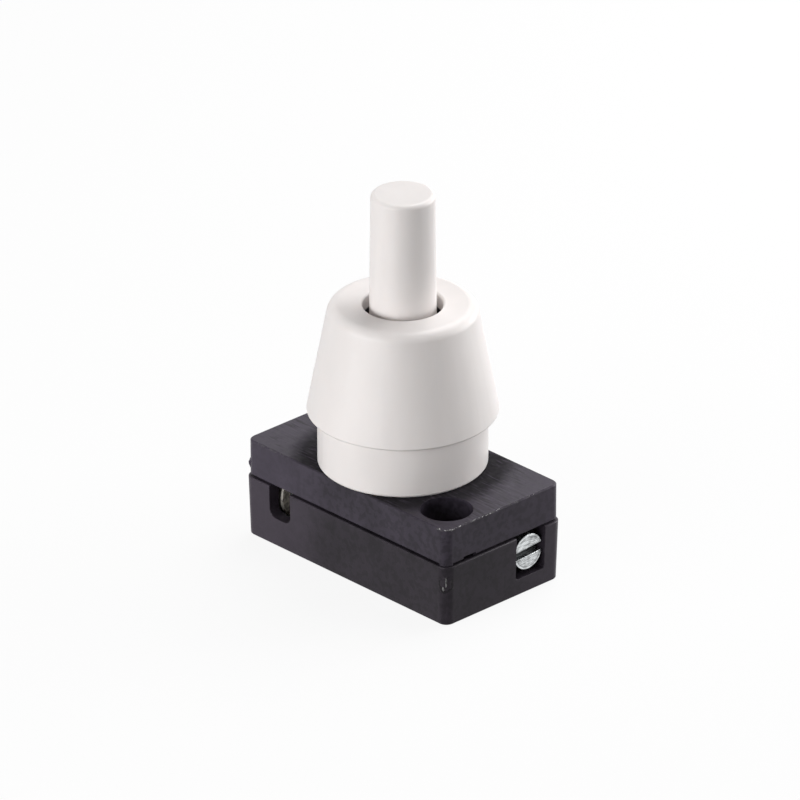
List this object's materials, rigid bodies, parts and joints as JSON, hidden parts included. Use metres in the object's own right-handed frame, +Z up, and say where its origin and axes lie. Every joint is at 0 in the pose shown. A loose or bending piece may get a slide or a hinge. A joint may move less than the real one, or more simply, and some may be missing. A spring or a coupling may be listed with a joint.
{
  "type": "pushbutton switch",
  "caption": "Press-on, press-off lamp switch: black riveted box with screw terminals, a threaded neck with spacer ring and conical nut, and a sprung push rod.",
  "frame": {"origin": "centre of the base's underside", "axes": "+Z up along the plunger, +X along the box's long side, +Y along its short side"},
  "size_m": [0.03, 0.0198, 0.041],
  "materials": {
    "black_moulding": "satin black moulded thermoset, lightly scuffed",
    "white_moulding": "glossy warm white moulded plastic",
    "rotor_moulding": "natural moulded nylon",
    "brass": "plain stamped brass",
    "zinc": "bright zinc plate, turned",
    "rivet_metal": "nickel plated",
    "spring_steel": "drawn spring wire"
  },
  "bodies": {
    "housing": {"base": "black_moulding", "cover": "black_moulding", "spacer_ring": "white_moulding", "contact_strip_a": "brass", "contact_strip_b": "brass", "terminal_screw_a": "zinc", "terminal_screw_b": "zinc", "clamp_washer_a": "brass", "clamp_washer_b": "brass", "housing_rivet_a": "rivet_metal", "housing_rivet_b": "rivet_metal", "return_spring": "spring_steel"},
    "button": {"plunger": "white_moulding"},
    "ratchet": {"rotor": "rotor_moulding", "contact_bridge": "brass"},
    "nut": {"cone_nut": "white_moulding"}
  },
  "joints": [
    {"name": "plunger_press", "type": "slide", "parent": "housing", "child": "button", "axis": [0, 0, -1], "range_m": [0, 0.00374], "stiffness_N_per_m": 700, "springref_m": -0.004, "deforming": ["return_spring"]},
    {"name": "ratchet_turn", "type": "hinge", "parent": "housing", "child": "ratchet", "pos_m": [0, 0, 0.0017], "axis": [0, 0, 1], "continuous": true},
    {"name": "nut_turn", "type": "hinge", "parent": "housing", "child": "nut", "pos_m": [0, 0, 0.0167], "axis": [0, 0, 1], "continuous": true}
  ],
  "couplings": [
    {"joint": "ratchet_turn", "follows": "plunger_press", "rad_per_m": 326.3}
  ]
}
